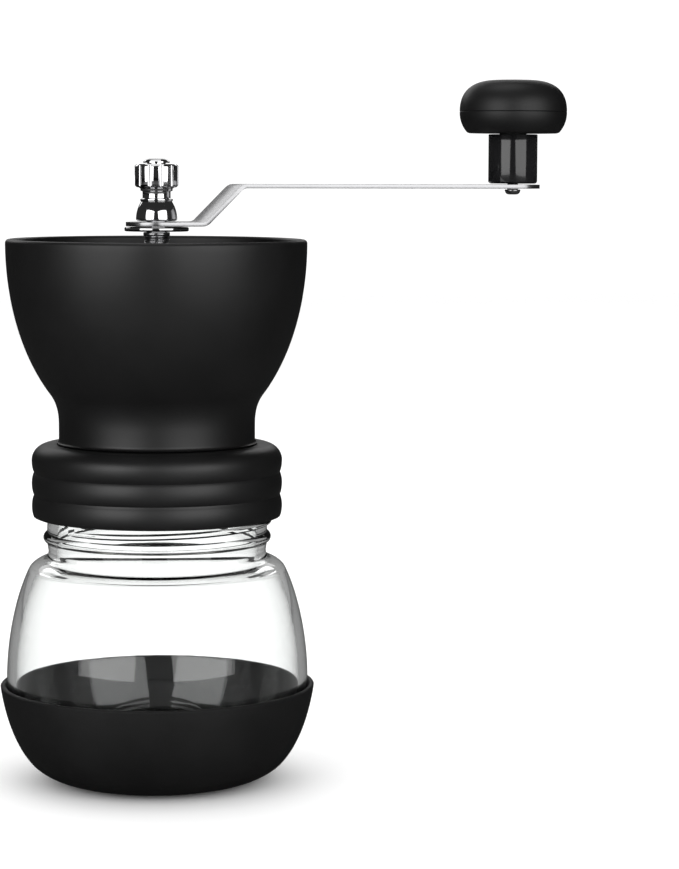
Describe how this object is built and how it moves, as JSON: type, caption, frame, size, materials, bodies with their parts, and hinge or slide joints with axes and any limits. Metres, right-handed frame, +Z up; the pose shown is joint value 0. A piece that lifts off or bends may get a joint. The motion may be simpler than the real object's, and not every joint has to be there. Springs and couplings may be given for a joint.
{
  "type": "hand crank coffee grinder",
  "caption": "Manual coffee mill: open hopper on a ribbed collar, glass jar in a rubber boot, burrs on a vertical shaft, and a cranked arm with a round knob under a thumb nut.",
  "frame": {"origin": "centre of the boot's flat underside, where the grinder stands", "axes": "+Z up along the shaft, +X along the crank arm at rest, +Y across it"},
  "size_m": [0.1726, 0.0928, 0.2075],
  "materials": {
    "boot_rubber": "matt black rubber",
    "jar_glass": "clear, polished",
    "clear_silicone": "translucent silicone",
    "black_shell": "satin black moulding",
    "black_core": "satin black moulding",
    "black_knob": "matt black moulding",
    "gloss_stem": "glossy black",
    "nylon": "natural nylon",
    "burr_ceramic": "fine unglazed ceramic",
    "chrome": "polished",
    "arm_steel": "polished stainless strip",
    "bright_steel": "bright zinc or machined steel"
  },
  "bodies": {
    "boot": {"base_boot": "boot_rubber"},
    "jar": {"glass_jar": "jar_glass"},
    "seal": {"jar_gasket": "clear_silicone"},
    "head": {"collar": "black_shell", "hopper": "black_shell", "mill_core": "black_core", "upper_bush": "nylon", "lower_bush": "nylon", "outer_burr": "burr_ceramic", "burr_retainer": "black_core", "retainer_screw_1": "bright_steel", "retainer_screw_2": "bright_steel", "retainer_screw_3": "bright_steel"},
    "drive": {"thrust_washer": "bright_steel", "spring_washer_upper": "bright_steel", "burr_spring": "bright_steel"},
    "adjust": {"adjust_nut": "bright_steel"},
    "spindle": {"shaft": "bright_steel", "drive_washer": "chrome", "crank_arm": "arm_steel", "knob_pin": "bright_steel", "burr_carrier": "black_core", "inner_burr": "burr_ceramic", "spring_washer_lower": "bright_steel", "burr_end_washer": "bright_steel", "burr_clip": "bright_steel"},
    "knob": {"knob_stem": "gloss_stem", "knob_head": "black_knob"},
    "cap": {"nut_cap": "chrome"},
    "thumb": {"thumb_nut": "chrome"}
  },
  "joints": [
    {"name": "jar_lift", "type": "slide", "parent": "boot", "child": "jar", "axis": [0, 0, 1], "range_m": [0, 0.035]},
    {"name": "head_rise", "type": "slide", "parent": "jar", "child": "seal", "axis": [0, 0, 1], "range_m": [0, 0.00676]},
    {"name": "head_unscrew", "type": "hinge", "parent": "seal", "child": "head", "pos_m": [0, 0, 0.1], "axis": [0, 0, 1], "range_deg": [0, 540]},
    {"name": "crank_spin", "type": "hinge", "parent": "head", "child": "drive", "pos_m": [0, 0, 0.15], "axis": [0, 0, 1], "continuous": true},
    {"name": "nut_turn", "type": "hinge", "parent": "drive", "child": "adjust", "pos_m": [0, 0, 0.154], "axis": [0, 0, -1], "range_deg": [0, 345]},
    {"name": "burr_set", "type": "slide", "parent": "drive", "child": "spindle", "axis": [0, 0, 1], "range_m": [0, 0.0012], "deforming": ["burr_spring"]},
    {"name": "knob_spin", "type": "hinge", "parent": "spindle", "child": "knob", "pos_m": [0.11, 0, 0.19], "axis": [0, 0, 1], "continuous": true},
    {"name": "nut_rise", "type": "slide", "parent": "spindle", "child": "cap", "axis": [0, 0, 1], "range_m": [0, 0.00801]},
    {"name": "thumb_nut_turn", "type": "hinge", "parent": "cap", "child": "thumb", "pos_m": [0, 0, 0.175], "axis": [0, 0, 1], "range_deg": [0, 2880]}
  ],
  "couplings": [
    {"joint": "head_rise", "follows": "head_unscrew", "m_per_rad": 0.0007162},
    {"joint": "nut_turn", "follows": "burr_set", "rad_per_m": 5026.6},
    {"joint": "nut_rise", "follows": "thumb_nut_turn", "m_per_rad": 0.00015915}
  ]
}
